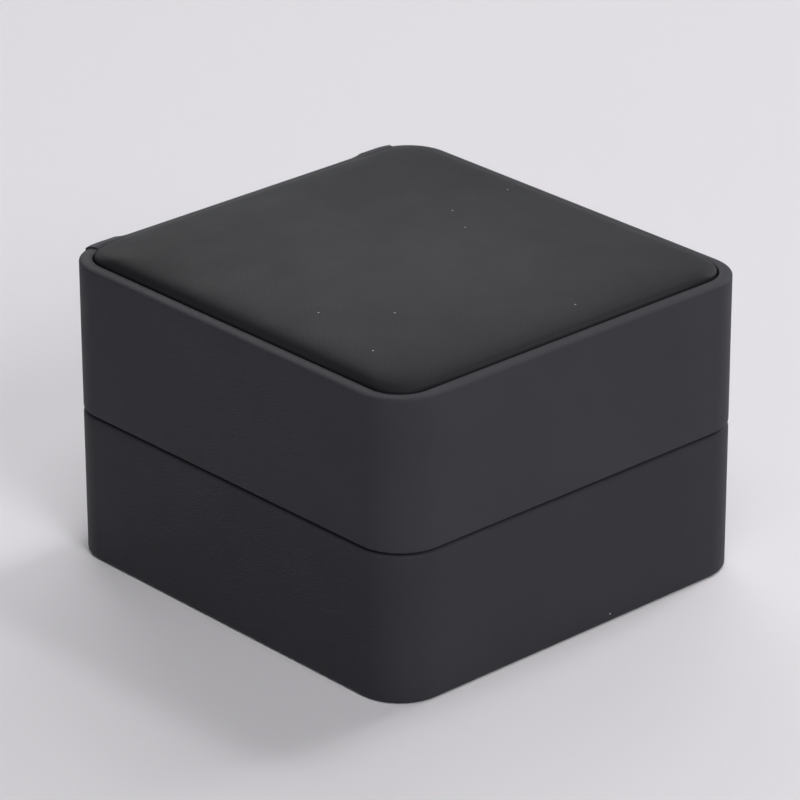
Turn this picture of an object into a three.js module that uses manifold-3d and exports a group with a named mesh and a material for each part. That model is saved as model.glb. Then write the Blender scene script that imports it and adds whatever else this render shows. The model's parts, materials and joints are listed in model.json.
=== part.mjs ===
// Ring box: a base and a lid in leatherette over moulded shells, joined by a spring hinge in the rear
// wall, with a padded panel in the lid's top, a velvet ring pad in the base and a padded lid lining.
// Millimetres, +Z up. The front faces -Y, the hinge is at +Y, and z = 0 is the underside.

import * as THREE from 'three';
import { mergeVertices } from 'three/addons/utils/BufferGeometryUtils.js';
import Module from 'manifold-3d';

const wasm = await Module();
wasm.setup();

// Overall size
const WIDTH = 65;
const DEPTH = 68;
const RIM_TOP = 43.8;
const CROWN_TOP = 45.8;
const CORNER_RADIUS = 6.8;
const SEAM = 21.65;
const SEAM_GAP = 0.6;

// Thicknesses and clearances
const SKIN = 0.5;
const GLUE = 0.1;
const WALL = 2;
const FLOOR = 2;
const LIP = 0.7;
const GAP = 0.3;
const PANEL_GAP = 0.15;
const EDGE_ROUND = 0.6;
const CARD = 1.2;
const CUT_MARGIN = 1;

// Outer wrap
const TURN_UNDER = 6;
const TURN_IN = 5;
const RECESS_TAIL = 1;
const WRAP_END_ANGLE = 71;
const COVER_END_ANGLE = 74;

// Base levels
const SHEET_TOP = 0.2;
const SHEET_INSET = 1.6;
const WRAP_BOTTOM = SHEET_TOP + GLUE;
const SHELL_BOTTOM = WRAP_BOTTOM + SKIN + GLUE;
const BASE_TOP = SEAM - SEAM_GAP / 2;
const FLOOR_TOP = SHELL_BOTTOM + FLOOR;

// Lid levels
const LID_BOTTOM = SEAM + SEAM_GAP / 2;
const RECESS_DEPTH = 4.2;
const RECESS_FLOOR = RIM_TOP - RECESS_DEPTH;
const LID_PLATE = 1.4;
const LID_CEILING = RECESS_FLOOR - LID_PLATE;
const TOP_COVER_BOTTOM = RECESS_FLOOR + 0.2;

// Insets from the outer face
const SHELL_OUT = SKIN + GLUE;
const SHELL_IN = SHELL_OUT + WALL;
const WRAP_IN = SHELL_IN + GLUE + SKIN;
const LIP_IN = SHELL_OUT + LIP;
const RIM_IN = LIP_IN + GLUE + SKIN;
const TOP_COVER_OUT = RIM_IN + PANEL_GAP;

// Crowns: at each distance in from a pad's edge, how far its face has fallen back from its middle
const TOP_CROWN = [[0, 2], [0.6, 1.2], [1.8, 0.8], [5, 0.4], [12, 0]];
const LID_PAD_CROWN = [[0, 1.4], [1, 0.4], [5, 0]];

// Linings
const LINER_INSET = 3.6;
const LINER_REAR_INSET = 6;
const LINER_THICK = 1.2;
const COLLAR_RISE = 2.5;
const PAD_GAP = 0.4;
const LID_PAD_DEPTH = 4;

// Ring pad
const RING_PAD_TOP = 19.4;
const RING_SLOT = 2.2;
const SLOT_DEPTH = 11;
const VELVET = 0.5;
const FOAM_ROUND = 4;
const ROLL_GAP = 0.8;
const HEM_RISE = 1;

// Hinge
const PIVOT_INSET = 1.9;
const BARREL_RADIUS = 1.1;
const BORE_RADIUS = 0.72;
const PIN_RADIUS = 0.56;
const PIN_HEAD_RADIUS = 0.95;
const PIN_HEAD = 0.5;
const KNUCKLES = 5;
const KNUCKLE_LENGTH = 7.6;
const KNUCKLE_GAP = 0.4;
const KNUCKLE_ROOT = 1;
const LEAF_THICK = 0.8;
const LEAF_HEIGHT = 10;
const LEAF_CLEAR = 1.5;
const NOTCH_HALF_WIDTH = 21.5;
const NOTCH_HALF_HEIGHT = 2;
const RELIEF_SLOPE = 1.3;
const RIVET_X = 14;
const RIVET_DROP = 6.5;
const RIVET_SHANK = 0.8;
const RIVET_HEAD_RADIUS = 1.5;
const RIVET_HEAD = 0.5;
const RIVET_REACH = 1.3;
const SPRING_WIDTH = 10;
const SPRING_THICK = 0.4;
const SPRING_DOWN = 8.5;
const SPRING_UP = 5;
const SPRING_BOW = 0.5;
const SPRING_BEND = 1;

const ARC_STEP = 15;
const SIDES = 20;
const MIN_RADIUS = 0.4;

const PIVOT_Y = DEPTH / 2 - PIVOT_INSET;
const LEAF_FRONT = DEPTH / 2 - SHELL_IN - GLUE - LEAF_THICK;
const LEAF_BACK = DEPTH / 2 - SHELL_IN - GLUE;

// Plan outlines: half width, reach to the front and to the rear, and corner radius
const OUTER = { halfX: WIDTH / 2, front: DEPTH / 2, rear: DEPTH / 2, radius: CORNER_RADIUS };
const LINING = {
  halfX: WIDTH / 2 - LINER_INSET,
  front: DEPTH / 2 - LINER_INSET,
  rear: DEPTH / 2 - LINER_REAR_INSET,
  radius: CORNER_RADIUS - LINER_INSET,
};

const materials = {
  leatherette: new THREE.MeshStandardMaterial({ color: '#3b3b3f', roughness: 0.72 }),
  moulding: new THREE.MeshStandardMaterial({ color: '#222326', roughness: 0.5 }),
  card: new THREE.MeshStandardMaterial({ color: '#8b8880', roughness: 0.9 }),
  foam: new THREE.MeshStandardMaterial({ color: '#d8d4c8', roughness: 1 }),
  velvet: new THREE.MeshStandardMaterial({ color: '#141417', roughness: 1 }),
  satin: new THREE.MeshStandardMaterial({ color: '#1b1b1f', roughness: 0.45 }),
  flock: new THREE.MeshStandardMaterial({ color: '#18181a', roughness: 1 }),
  plated: new THREE.MeshStandardMaterial({ color: '#b9b6ad', roughness: 0.3, metalness: 1 }),
};

const box = new THREE.Group();
const base = new THREE.Group();
const lid = new THREE.Group();
box.add(base, lid);

// --- geometry helpers -------------------------------------------------------------------------

// The plan angles of an outline's corner arcs between two angles, each with its quadrant.
function stations(from, to) {
  const list = [];
  for (let start = Math.floor(from / 90) * 90; start < to; start += 90) {
    const first = Math.max(from, start);
    const last = Math.min(to, start + 90);
    const steps = Math.max(1, Math.round((last - first) / ARC_STEP));
    for (let i = 0; i <= steps; i += 1) {
      const angle = first + ((last - first) * i) / steps;
      list.push({ quadrant: (start / 90) % 4, angle: THREE.MathUtils.degToRad(angle) });
    }
  }
  return list;
}

// The point of an outline, moved inwards by inset, at one station.
function outlinePoint(outline, inset, station, z) {
  const r = Math.max(outline.radius - inset, MIN_RADIUS);
  const toRight = station.quadrant === 0 || station.quadrant === 3 ? 1 : -1;
  const toRear = station.quadrant < 2;
  const centreX = toRight * (outline.halfX - inset - r);
  const centreY = toRear ? outline.rear - inset - r : -(outline.front - inset - r);
  return [centreX + r * Math.cos(station.angle), centreY + r * Math.sin(station.angle), z];
}

// Six times the volume that a triangle list holds: negative when its faces point in.
function signedVolume(points, faces) {
  let sum = 0;
  const [a, b, c] = [new THREE.Vector3(), new THREE.Vector3(), new THREE.Vector3()];
  for (const face of faces) {
    a.fromArray(points[face[0]]);
    b.fromArray(points[face[1]]);
    c.fromArray(points[face[2]]);
    sum += a.dot(b.cross(c));
  }
  return sum;
}

function solid(points, faces) {
  const outward = signedVolume(points, faces) > 0 ? faces : faces.map(([a, b, c]) => [a, c, b]);
  const geometry = new THREE.BufferGeometry();
  geometry.setAttribute('position', new THREE.Float32BufferAttribute(points.flat(), 3));
  geometry.setIndex(outward.flat());
  return geometry;
}

// The quads between neighbouring rows of a grid of points, each cut into two triangles.
function sideFaces(rows, columns, rowsClose, columnsClose) {
  const faces = [];
  const at = (i, j) => (i % rows) * columns + (j % columns);
  for (let i = 0; i < (rowsClose ? rows : rows - 1); i += 1) {
    for (let j = 0; j < (columnsClose ? columns : columns - 1); j += 1) {
      faces.push([at(i, j), at(i + 1, j), at(i + 1, j + 1)]);
      faces.push([at(i, j), at(i + 1, j + 1), at(i, j + 1)]);
    }
  }
  return faces;
}

function gridPoints(outline, profile, path) {
  return profile.flatMap(([inset, z]) => path.map((station) => outlinePoint(outline, inset, station, z)));
}

// A solid whose section [inset, z] runs from one flat end, around the outline, to another flat end.
function tub(outline, section) {
  const path = stations(0, 360);
  const n = path.length;
  const faces = sideFaces(section.length, n, false, true);
  const lastRow = (section.length - 1) * n;
  for (let j = 1; j < n - 1; j += 1) {
    faces.push([0, j, j + 1]);
    faces.push([lastRow, lastRow + j + 1, lastRow + j]);
  }
  return solid(gridPoints(outline, section, path), faces);
}

// A closed section [inset, z] carried all the way round the outline.
function ring(outline, section) {
  const path = stations(0, 360);
  return solid(gridPoints(outline, section, path), sideFaces(section.length, path.length, true, true));
}

// A closed section [inset, z] carried along part of the outline, with a flat cap at each end.
function strip(outline, section, from, to) {
  const path = stations(from, to);
  const n = path.length;
  const faces = sideFaces(section.length, n, true, false);
  const contour = section.map(([inset, z]) => new THREE.Vector2(inset, z));
  const turn = Math.sign(THREE.ShapeUtils.area(contour));
  for (const [a, b, c] of THREE.ShapeUtils.triangulateShape(contour, [])) {
    const same = Math.sign(THREE.ShapeUtils.area([contour[a], contour[b], contour[c]])) === turn;
    const [p, q] = same ? [b, c] : [c, b];
    faces.push([a * n, q * n, p * n]);
    faces.push([a * n + n - 1, p * n + n - 1, q * n + n - 1]);
  }
  return solid(gridPoints(outline, section, path), faces);
}

function block(x0, x1, y0, y1, z0, z1) {
  const geometry = new THREE.BoxGeometry(x1 - x0, y1 - y0, z1 - z0);
  return geometry.translate((x0 + x1) / 2, (y0 + y1) / 2, (z0 + z1) / 2);
}

// A cylinder along X, centred on x.
function rodX(radius, length, x, y, z) {
  const geometry = new THREE.CylinderGeometry(radius, radius, length, SIDES);
  return geometry.rotateZ(Math.PI / 2).translate(x, y, z);
}

// A cylinder along Y from y0 to y1.
function rodY(radius, y0, y1, x, z) {
  const geometry = new THREE.CylinderGeometry(radius, radius, y1 - y0, SIDES);
  return geometry.translate(x, (y0 + y1) / 2, z);
}

// A YZ outline pulled along X, centred on the middle plane.
function alongX(shape, width) {
  const geometry = new THREE.ExtrudeGeometry(shape, { depth: width, bevelEnabled: false, curveSegments: 6 });
  geometry.rotateY(Math.PI / 2).rotateX(Math.PI / 2);
  return geometry.translate(-width / 2, 0, 0);
}

function toManifold(geometry) {
  const plain = geometry.clone();
  plain.deleteAttribute('normal');
  plain.deleteAttribute('uv');
  const merged = mergeVertices(plain, 1e-5);
  return new wasm.Manifold(new wasm.Mesh({
    numProp: 3,
    vertProperties: new Float32Array(merged.attributes.position.array),
    triVerts: new Uint32Array(merged.index.array),
  }));
}

function toGeometry(manifold) {
  const mesh = manifold.getMesh();
  const geometry = new THREE.BufferGeometry();
  geometry.setAttribute('position', new THREE.BufferAttribute(new Float32Array(mesh.vertProperties), 3));
  geometry.setIndex(new THREE.BufferAttribute(new Uint32Array(mesh.triVerts), 1));
  return geometry;
}

function combine(added, cut = []) {
  let result = toManifold(added[0]);
  for (const geometry of added.slice(1)) {
    result = result.add(toManifold(geometry));
  }
  for (const geometry of cut) {
    result = result.subtract(toManifold(geometry));
  }
  return toGeometry(result);
}

function addPart(group, name, geometry, material) {
  const mesh = new THREE.Mesh(geometry, materials[material]);
  mesh.name = name;
  group.add(mesh);
  return mesh;
}

// --- cases ------------------------------------------------------------------------------------

// The wedge, opening to the rear from the hinge line, that the rear edges of both halves need so that
// they pass each other as the lid swings.
function swingRelief() {
  const reach = PIVOT_INSET + CUT_MARGIN;
  const mouth = SEAM_GAP / 2 + reach * RELIEF_SLOPE;
  const shape = new THREE.Shape();
  shape.moveTo(PIVOT_Y, SEAM - SEAM_GAP / 2);
  shape.lineTo(PIVOT_Y + reach, SEAM - mouth);
  shape.lineTo(PIVOT_Y + reach, SEAM + mouth);
  shape.lineTo(PIVOT_Y, SEAM + SEAM_GAP / 2);
  shape.closePath();
  return alongX(shape, WIDTH + 2 * CUT_MARGIN);
}

// The room for the knuckles in both shells' rear walls.
function hingeNotch() {
  const innerY = DEPTH / 2 - SHELL_IN - CUT_MARGIN;
  return block(
    -NOTCH_HALF_WIDTH, NOTCH_HALF_WIDTH, innerY, DEPTH / 2 + CUT_MARGIN,
    SEAM - NOTCH_HALF_HEIGHT, SEAM + NOTCH_HALF_HEIGHT,
  );
}

function rivetHoles(z, positions) {
  const radius = RIVET_SHANK + GLUE;
  return positions.map((x) => rodY(radius, LEAF_FRONT - CUT_MARGIN, DEPTH / 2 - RIVET_REACH + GLUE, x, z));
}

function baseShell() {
  const top = BASE_TOP - SKIN - GLUE;
  const body = tub(OUTER, [
    [SHELL_OUT, SHELL_BOTTOM],
    [SHELL_OUT, top],
    [SHELL_IN, top],
    [SHELL_IN, FLOOR_TOP],
  ]);
  const holes = rivetHoles(SEAM - RIVET_DROP, [-RIVET_X, 0, RIVET_X]);
  return combine([body], [hingeNotch(), swingRelief(), ...holes]);
}

function lidShell() {
  const bottom = LID_BOTTOM + SKIN + GLUE;
  const top = RIM_TOP - SKIN - GLUE;
  const body = tub(OUTER, [
    [LIP_IN, RECESS_FLOOR],
    [LIP_IN, top],
    [SHELL_OUT, top],
    [SHELL_OUT, bottom],
    [SHELL_IN, bottom],
    [SHELL_IN, LID_CEILING],
  ]);
  const holes = rivetHoles(SEAM + RIVET_DROP, [-RIVET_X, RIVET_X]);
  return combine([body], [hingeNotch(), swingRelief(), ...holes]);
}

// Leatherette round the front and sides, turned under the floor and over the rim.
function baseWrap() {
  const section = [
    [TURN_UNDER, WRAP_BOTTOM],
    [EDGE_ROUND, WRAP_BOTTOM],
    [EDGE_ROUND / 4, WRAP_BOTTOM + EDGE_ROUND / 4],
    [0, WRAP_BOTTOM + EDGE_ROUND],
    [0, BASE_TOP - EDGE_ROUND],
    [EDGE_ROUND / 4, BASE_TOP - EDGE_ROUND / 4],
    [EDGE_ROUND, BASE_TOP],
    [WRAP_IN - EDGE_ROUND, BASE_TOP],
    [WRAP_IN, BASE_TOP - EDGE_ROUND],
    [WRAP_IN, BASE_TOP - TURN_IN],
    [WRAP_IN - SKIN, BASE_TOP - TURN_IN],
    [WRAP_IN - SKIN, BASE_TOP - SKIN],
    [SKIN, BASE_TOP - SKIN],
    [SKIN, WRAP_BOTTOM + SKIN],
    [TURN_UNDER, WRAP_BOTTOM + SKIN],
  ];
  return combine([strip(OUTER, section, 180 - WRAP_END_ANGLE, 360 + WRAP_END_ANGLE)], [swingRelief()]);
}

function lidWrap() {
  const section = [
    [WRAP_IN, LID_BOTTOM + TURN_IN],
    [WRAP_IN, LID_BOTTOM + EDGE_ROUND],
    [WRAP_IN - EDGE_ROUND, LID_BOTTOM],
    [EDGE_ROUND, LID_BOTTOM],
    [EDGE_ROUND / 4, LID_BOTTOM + EDGE_ROUND / 4],
    [0, LID_BOTTOM + EDGE_ROUND],
    [0, RIM_TOP - EDGE_ROUND],
    [EDGE_ROUND / 4, RIM_TOP - EDGE_ROUND / 4],
    [EDGE_ROUND, RIM_TOP],
    [RIM_IN - EDGE_ROUND, RIM_TOP],
    [RIM_IN, RIM_TOP - EDGE_ROUND],
    [RIM_IN, RECESS_FLOOR + RECESS_TAIL],
    [RIM_IN - SKIN, RECESS_FLOOR + RECESS_TAIL],
    [RIM_IN - SKIN, RIM_TOP - SKIN],
    [SKIN, RIM_TOP - SKIN],
    [SKIN, LID_BOTTOM + SKIN],
    [WRAP_IN - SKIN, LID_BOTTOM + SKIN],
    [WRAP_IN - SKIN, LID_BOTTOM + TURN_IN],
  ];
  return combine([strip(OUTER, section, 180 - WRAP_END_ANGLE, 360 + WRAP_END_ANGLE)], [swingRelief()]);
}

// One leatherette piece over the back of both halves: it bends over the hinge as the lid opens.
function rearCover() {
  const section = [
    [TURN_UNDER, WRAP_BOTTOM],
    [EDGE_ROUND, WRAP_BOTTOM],
    [EDGE_ROUND / 4, WRAP_BOTTOM + EDGE_ROUND / 4],
    [0, WRAP_BOTTOM + EDGE_ROUND],
    [0, RIM_TOP - EDGE_ROUND],
    [EDGE_ROUND / 4, RIM_TOP - EDGE_ROUND / 4],
    [EDGE_ROUND, RIM_TOP],
    [RIM_IN - EDGE_ROUND, RIM_TOP],
    [RIM_IN, RIM_TOP - EDGE_ROUND],
    [RIM_IN, RECESS_FLOOR + RECESS_TAIL],
    [RIM_IN - SKIN, RECESS_FLOOR + RECESS_TAIL],
    [RIM_IN - SKIN, RIM_TOP - SKIN],
    [SKIN, RIM_TOP - SKIN],
    [SKIN, WRAP_BOTTOM + SKIN],
    [TURN_UNDER, WRAP_BOTTOM + SKIN],
  ];
  return strip(OUTER, section, COVER_END_ANGLE, 180 - COVER_END_ANGLE);
}

function bottomSheet() {
  return tub(OUTER, [[SHEET_INSET, 0], [SHEET_INSET, SHEET_TOP]]);
}

// --- linings ----------------------------------------------------------------------------------

function liner(bottom, top) {
  return ring(LINING, [
    [0, bottom],
    [0, top - EDGE_ROUND / 2],
    [EDGE_ROUND / 2, top],
    [LINER_THICK - EDGE_ROUND / 2, top],
    [LINER_THICK, top - EDGE_ROUND / 2],
    [LINER_THICK, bottom],
  ]);
}

function flatPlate(outline, inset, bottom, top) {
  return tub(outline, [[inset, bottom], [inset, top]]);
}

// A crown's line of [inset, z], sunk below the pad's face by depth. up is 1 for a pad that faces up.
function crownLine(edge, face, up, crown, depth) {
  return crown.map(([inward, fall]) => [edge + depth + inward, face - up * (fall + depth)]);
}

// The skin of a pad, drawn over its crown and back along its sides as far as back.
function padCover(outline, edge, face, back, up, crown, thickness) {
  return tub(outline, [
    ...crownLine(edge, face, up, crown, 0).reverse(),
    [edge, back],
    [edge + thickness, back],
    ...crownLine(edge, face, up, crown, thickness),
  ]);
}

function padFoam(outline, edge, face, back, up, crown, depth) {
  return tub(outline, [[edge + depth, back], ...crownLine(edge, face, up, crown, depth)]);
}

// --- ring pad ---------------------------------------------------------------------------------

const PAD_FRONT = -LINING.front + LINER_THICK + ROLL_GAP;
const PAD_REAR = LINING.rear - LINER_THICK - ROLL_GAP;
const PAD_MIDDLE = (PAD_FRONT + PAD_REAR) / 2;
const PAD_WIDTH = 2 * (LINING.halfX - LINER_THICK - ROLL_GAP);
const PAD_BOARD_TOP = FLOOR_TOP + GLUE + CARD;

// One roll's section in Y and Z, round at its two upper edges.
function rollShape(y0, y1, bottom, top) {
  const shape = new THREE.Shape();
  shape.moveTo(y0, bottom);
  shape.lineTo(y1, bottom);
  shape.lineTo(y1, top - FOAM_ROUND);
  shape.absarc(y1 - FOAM_ROUND, top - FOAM_ROUND, FOAM_ROUND, 0, Math.PI / 2, false);
  shape.lineTo(y0 + FOAM_ROUND, top);
  shape.absarc(y0 + FOAM_ROUND, top - FOAM_ROUND, FOAM_ROUND, Math.PI / 2, Math.PI, false);
  shape.closePath();
  return shape;
}

// side is -1 for the front roll and 1 for the back one.
function ringFoam(side) {
  const skin = VELVET + GLUE;
  const slotFace = PAD_MIDDLE + side * (RING_SLOT / 2 + skin);
  const outerFace = side < 0 ? PAD_FRONT + skin : PAD_REAR - skin;
  const [y0, y1] = side < 0 ? [outerFace, slotFace] : [slotFace, outerFace];
  return alongX(rollShape(y0, y1, PAD_BOARD_TOP + GLUE, RING_PAD_TOP - skin), PAD_WIDTH);
}

// Velvet over both rolls in one piece, tucked down between them to hold the ring's shank.
function ringPadCover() {
  const shape = new THREE.Shape();
  const r = FOAM_ROUND + VELVET;
  const top = RING_PAD_TOP;
  const hem = PAD_BOARD_TOP + HEM_RISE;
  const slotBottom = top - SLOT_DEPTH;
  const left = PAD_MIDDLE - RING_SLOT / 2;
  const right = PAD_MIDDLE + RING_SLOT / 2;
  const quarter = Math.PI / 2;
  shape.moveTo(PAD_FRONT, hem);
  shape.lineTo(PAD_FRONT, top - r);
  shape.absarc(PAD_FRONT + r, top - r, r, Math.PI, quarter, true);
  shape.absarc(left - r, top - r, r, quarter, 0, true);
  shape.lineTo(left, slotBottom);
  shape.lineTo(right, slotBottom);
  shape.absarc(right + r, top - r, r, Math.PI, quarter, true);
  shape.absarc(PAD_REAR - r, top - r, r, quarter, 0, true);
  shape.lineTo(PAD_REAR, hem);
  shape.lineTo(PAD_REAR - VELVET, hem);
  shape.absarc(PAD_REAR - r, top - r, FOAM_ROUND, 0, quarter, false);
  shape.absarc(right + r, top - r, FOAM_ROUND, quarter, Math.PI, false);
  shape.lineTo(right + VELVET, slotBottom - VELVET);
  shape.lineTo(left - VELVET, slotBottom - VELVET);
  shape.absarc(left - r, top - r, FOAM_ROUND, 0, quarter, false);
  shape.absarc(PAD_FRONT + r, top - r, FOAM_ROUND, quarter, Math.PI, false);
  shape.lineTo(PAD_FRONT + VELVET, hem);
  shape.closePath();
  return alongX(shape, PAD_WIDTH);
}

// --- hinge ------------------------------------------------------------------------------------

function knuckleX(index) {
  return (index - (KNUCKLES - 1) / 2) * (KNUCKLE_LENGTH + KNUCKLE_GAP);
}

// up is 1 for the lid's leaf, which has the odd knuckles, and -1 for the base's.
function hingeLeaf(up, firstKnuckle, rivets) {
  const halfLength = knuckleX(KNUCKLES - 1) + KNUCKLE_LENGTH / 2;
  const [zNear, zFar] = [SEAM + up * LEAF_CLEAR, SEAM + up * LEAF_HEIGHT];
  const [low, high] = [Math.min(zNear, zFar), Math.max(zNear, zFar)];
  const solids = [block(-halfLength, halfLength, LEAF_FRONT, LEAF_BACK, low, high)];
  for (let i = firstKnuckle; i < KNUCKLES; i += 2) {
    const x = knuckleX(i);
    const [x0, x1] = [x - KNUCKLE_LENGTH / 2, x + KNUCKLE_LENGTH / 2];
    const root = zNear + up * KNUCKLE_ROOT;
    const [z0, z1] = [Math.min(SEAM, root), Math.max(SEAM, root)];
    solids.push(block(x0, x1, LEAF_FRONT, LEAF_BACK, z0, z1));
    solids.push(rodX(BARREL_RADIUS, KNUCKLE_LENGTH, x, PIVOT_Y, SEAM));
  }
  const bore = rodX(BORE_RADIUS, 2 * (halfLength + CUT_MARGIN), 0, PIVOT_Y, SEAM);
  return combine(solids, [bore, ...rivetHoles(SEAM + up * RIVET_DROP, rivets)]);
}

function hingePin() {
  const halfLength = knuckleX(KNUCKLES - 1) + KNUCKLE_LENGTH / 2 + KNUCKLE_GAP / 2;
  const shaft = rodX(PIN_RADIUS, 2 * halfLength + PIN_HEAD, 0, 0, 0);
  const heads = [-1, 1].map((side) => rodX(PIN_HEAD_RADIUS, PIN_HEAD, side * (halfLength + PIN_HEAD / 2), 0, 0));
  return combine([shaft, ...heads]);
}

// headFace is the face that the head is closed down on.
function rivet(headFace) {
  const shank = rodY(RIVET_SHANK, headFace - RIVET_HEAD / 2, DEPTH / 2 - RIVET_REACH, 0, 0);
  const head = rodY(RIVET_HEAD_RADIUS, headFace - RIVET_HEAD, headFace, 0, 0);
  return combine([shank, head]);
}

// A blade on the base's leaf that bears on the lid's leaf and snaps it open or shut.
function hingeSpring() {
  const face = LEAF_FRONT - GLUE;
  const [z0, z1] = [SEAM - SPRING_DOWN, SEAM + SPRING_UP];
  const bend = SEAM - LEAF_CLEAR - SPRING_BEND;
  const bowed = face - SPRING_BOW;
  const shape = new THREE.Shape();
  shape.moveTo(face, z0);
  shape.lineTo(face, bend);
  shape.quadraticCurveTo(bowed - SPRING_BOW, SEAM, face - GLUE, z1);
  shape.lineTo(face - GLUE - SPRING_THICK, z1);
  shape.quadraticCurveTo(bowed - SPRING_BOW - SPRING_THICK, SEAM, face - SPRING_THICK, bend);
  shape.lineTo(face - SPRING_THICK, z0);
  shape.closePath();
  const [hole] = rivetHoles(SEAM - RIVET_DROP, [0]);
  return combine([alongX(shape, SPRING_WIDTH)], [hole]);
}

// --- assembly ---------------------------------------------------------------------------------

addPart(base, 'base_shell', baseShell(), 'moulding');
addPart(base, 'base_wrap', baseWrap(), 'leatherette');
addPart(base, 'base_bottom_sheet', bottomSheet(), 'flock');
addPart(base, 'base_liner', liner(FLOOR_TOP + GAP, SEAM + COLLAR_RISE), 'velvet');
const boardInset = LINER_THICK + PAD_GAP;
addPart(base, 'ring_pad_board', flatPlate(LINING, boardInset, FLOOR_TOP + GLUE, PAD_BOARD_TOP), 'card');
addPart(base, 'ring_foam_front', ringFoam(-1), 'foam');
addPart(base, 'ring_foam_back', ringFoam(1), 'foam');
addPart(base, 'ring_pad_cover', ringPadCover(), 'velvet');
addPart(base, 'hinge_leaf_base', hingeLeaf(-1, 0, [-RIVET_X, 0, RIVET_X]), 'plated');
addPart(base, 'hinge_pin', hingePin(), 'plated').position.set(0, PIVOT_Y, SEAM);
addPart(base, 'hinge_spring', hingeSpring(), 'plated');
addPart(base, 'rear_cover', rearCover(), 'leatherette');

addPart(lid, 'lid_shell', lidShell(), 'moulding');
addPart(lid, 'lid_wrap', lidWrap(), 'leatherette');
const panelInset = TOP_COVER_OUT + SKIN + GLUE;
const panelTop = TOP_COVER_BOTTOM + CARD;
addPart(lid, 'lid_top_board', flatPlate(OUTER, panelInset, TOP_COVER_BOTTOM, panelTop), 'card');
const topFoam = padFoam(OUTER, TOP_COVER_OUT, CROWN_TOP, panelTop + GLUE, 1, TOP_CROWN, SKIN + GLUE);
addPart(lid, 'lid_top_foam', topFoam, 'foam');
const topCover = padCover(OUTER, TOP_COVER_OUT, CROWN_TOP, TOP_COVER_BOTTOM, 1, TOP_CROWN, SKIN);
addPart(lid, 'lid_top_cover', topCover, 'leatherette');
addPart(lid, 'lid_liner', liner(SEAM + COLLAR_RISE + GAP, LID_CEILING - GLUE), 'velvet');
const padInset = boardInset + VELVET + GLUE;
const padFace = LID_CEILING - LID_PAD_DEPTH;
const padBoardTop = LID_CEILING - GLUE;
const padBoardBottom = padBoardTop - CARD;
addPart(lid, 'lid_pad_board', flatPlate(LINING, padInset, padBoardBottom, padBoardTop), 'card');
const lidFoam = padFoam(LINING, boardInset, padFace, padBoardBottom - GLUE, -1, LID_PAD_CROWN, VELVET + GLUE);
addPart(lid, 'lid_pad_foam', lidFoam, 'foam');
const lidCover = padCover(LINING, boardInset, padFace, padBoardTop, -1, LID_PAD_CROWN, VELVET);
addPart(lid, 'lid_pad_cover', lidCover, 'satin');
addPart(lid, 'hinge_leaf_lid', hingeLeaf(1, 1, [-RIVET_X, RIVET_X]), 'plated');

const leafFace = LEAF_FRONT - GLUE;
for (const [side, x] of [['left', -RIVET_X], ['right', RIVET_X]]) {
  addPart(base, `hinge_rivet_base_${side}`, rivet(leafFace), 'plated').position.set(x, 0, SEAM - RIVET_DROP);
  addPart(lid, `hinge_rivet_lid_${side}`, rivet(leafFace), 'plated').position.set(x, 0, SEAM + RIVET_DROP);
}
const springRivet = rivet(leafFace - SPRING_THICK - GLUE);
addPart(base, 'hinge_rivet_spring', springRivet, 'plated').position.set(0, 0, SEAM - RIVET_DROP);

export default box;
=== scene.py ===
"""Ring box: the finished look of a leatherette box with a padded lid panel, a velvet ring pad and a satin
lid lining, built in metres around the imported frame. -Y is the front, +Y the hinge side, +Z is up."""

import json
import math

import bmesh
import bpy
from mathutils import Matrix, Vector
from mathutils.kdtree import KDTree

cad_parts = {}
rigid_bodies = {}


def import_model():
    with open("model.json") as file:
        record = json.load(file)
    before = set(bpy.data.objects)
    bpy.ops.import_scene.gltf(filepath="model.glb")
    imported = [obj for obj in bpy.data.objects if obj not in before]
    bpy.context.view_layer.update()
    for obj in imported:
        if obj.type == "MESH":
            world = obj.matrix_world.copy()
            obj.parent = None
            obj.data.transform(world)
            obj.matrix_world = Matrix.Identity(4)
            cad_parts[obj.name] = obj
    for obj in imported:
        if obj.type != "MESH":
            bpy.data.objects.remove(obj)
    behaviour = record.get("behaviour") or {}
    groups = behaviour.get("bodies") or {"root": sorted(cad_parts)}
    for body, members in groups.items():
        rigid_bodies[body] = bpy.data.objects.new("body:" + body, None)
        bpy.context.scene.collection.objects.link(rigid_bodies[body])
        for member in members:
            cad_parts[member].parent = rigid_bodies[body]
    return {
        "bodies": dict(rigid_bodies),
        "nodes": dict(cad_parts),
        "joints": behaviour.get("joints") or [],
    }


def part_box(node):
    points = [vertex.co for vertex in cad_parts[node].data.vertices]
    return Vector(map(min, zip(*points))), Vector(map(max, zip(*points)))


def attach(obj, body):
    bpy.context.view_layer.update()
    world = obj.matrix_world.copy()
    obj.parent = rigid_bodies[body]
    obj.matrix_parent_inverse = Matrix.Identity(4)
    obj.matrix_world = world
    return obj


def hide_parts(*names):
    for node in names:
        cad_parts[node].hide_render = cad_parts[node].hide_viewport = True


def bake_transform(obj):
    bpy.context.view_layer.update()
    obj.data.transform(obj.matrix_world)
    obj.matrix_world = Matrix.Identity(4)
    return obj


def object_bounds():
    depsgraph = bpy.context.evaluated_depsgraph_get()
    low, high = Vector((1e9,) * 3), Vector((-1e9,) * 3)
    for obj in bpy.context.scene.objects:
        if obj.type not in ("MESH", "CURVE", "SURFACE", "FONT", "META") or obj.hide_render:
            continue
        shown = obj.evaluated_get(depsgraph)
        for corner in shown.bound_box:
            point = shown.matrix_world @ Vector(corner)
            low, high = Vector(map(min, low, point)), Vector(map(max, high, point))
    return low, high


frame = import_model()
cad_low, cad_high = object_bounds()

MM = 0.001

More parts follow.
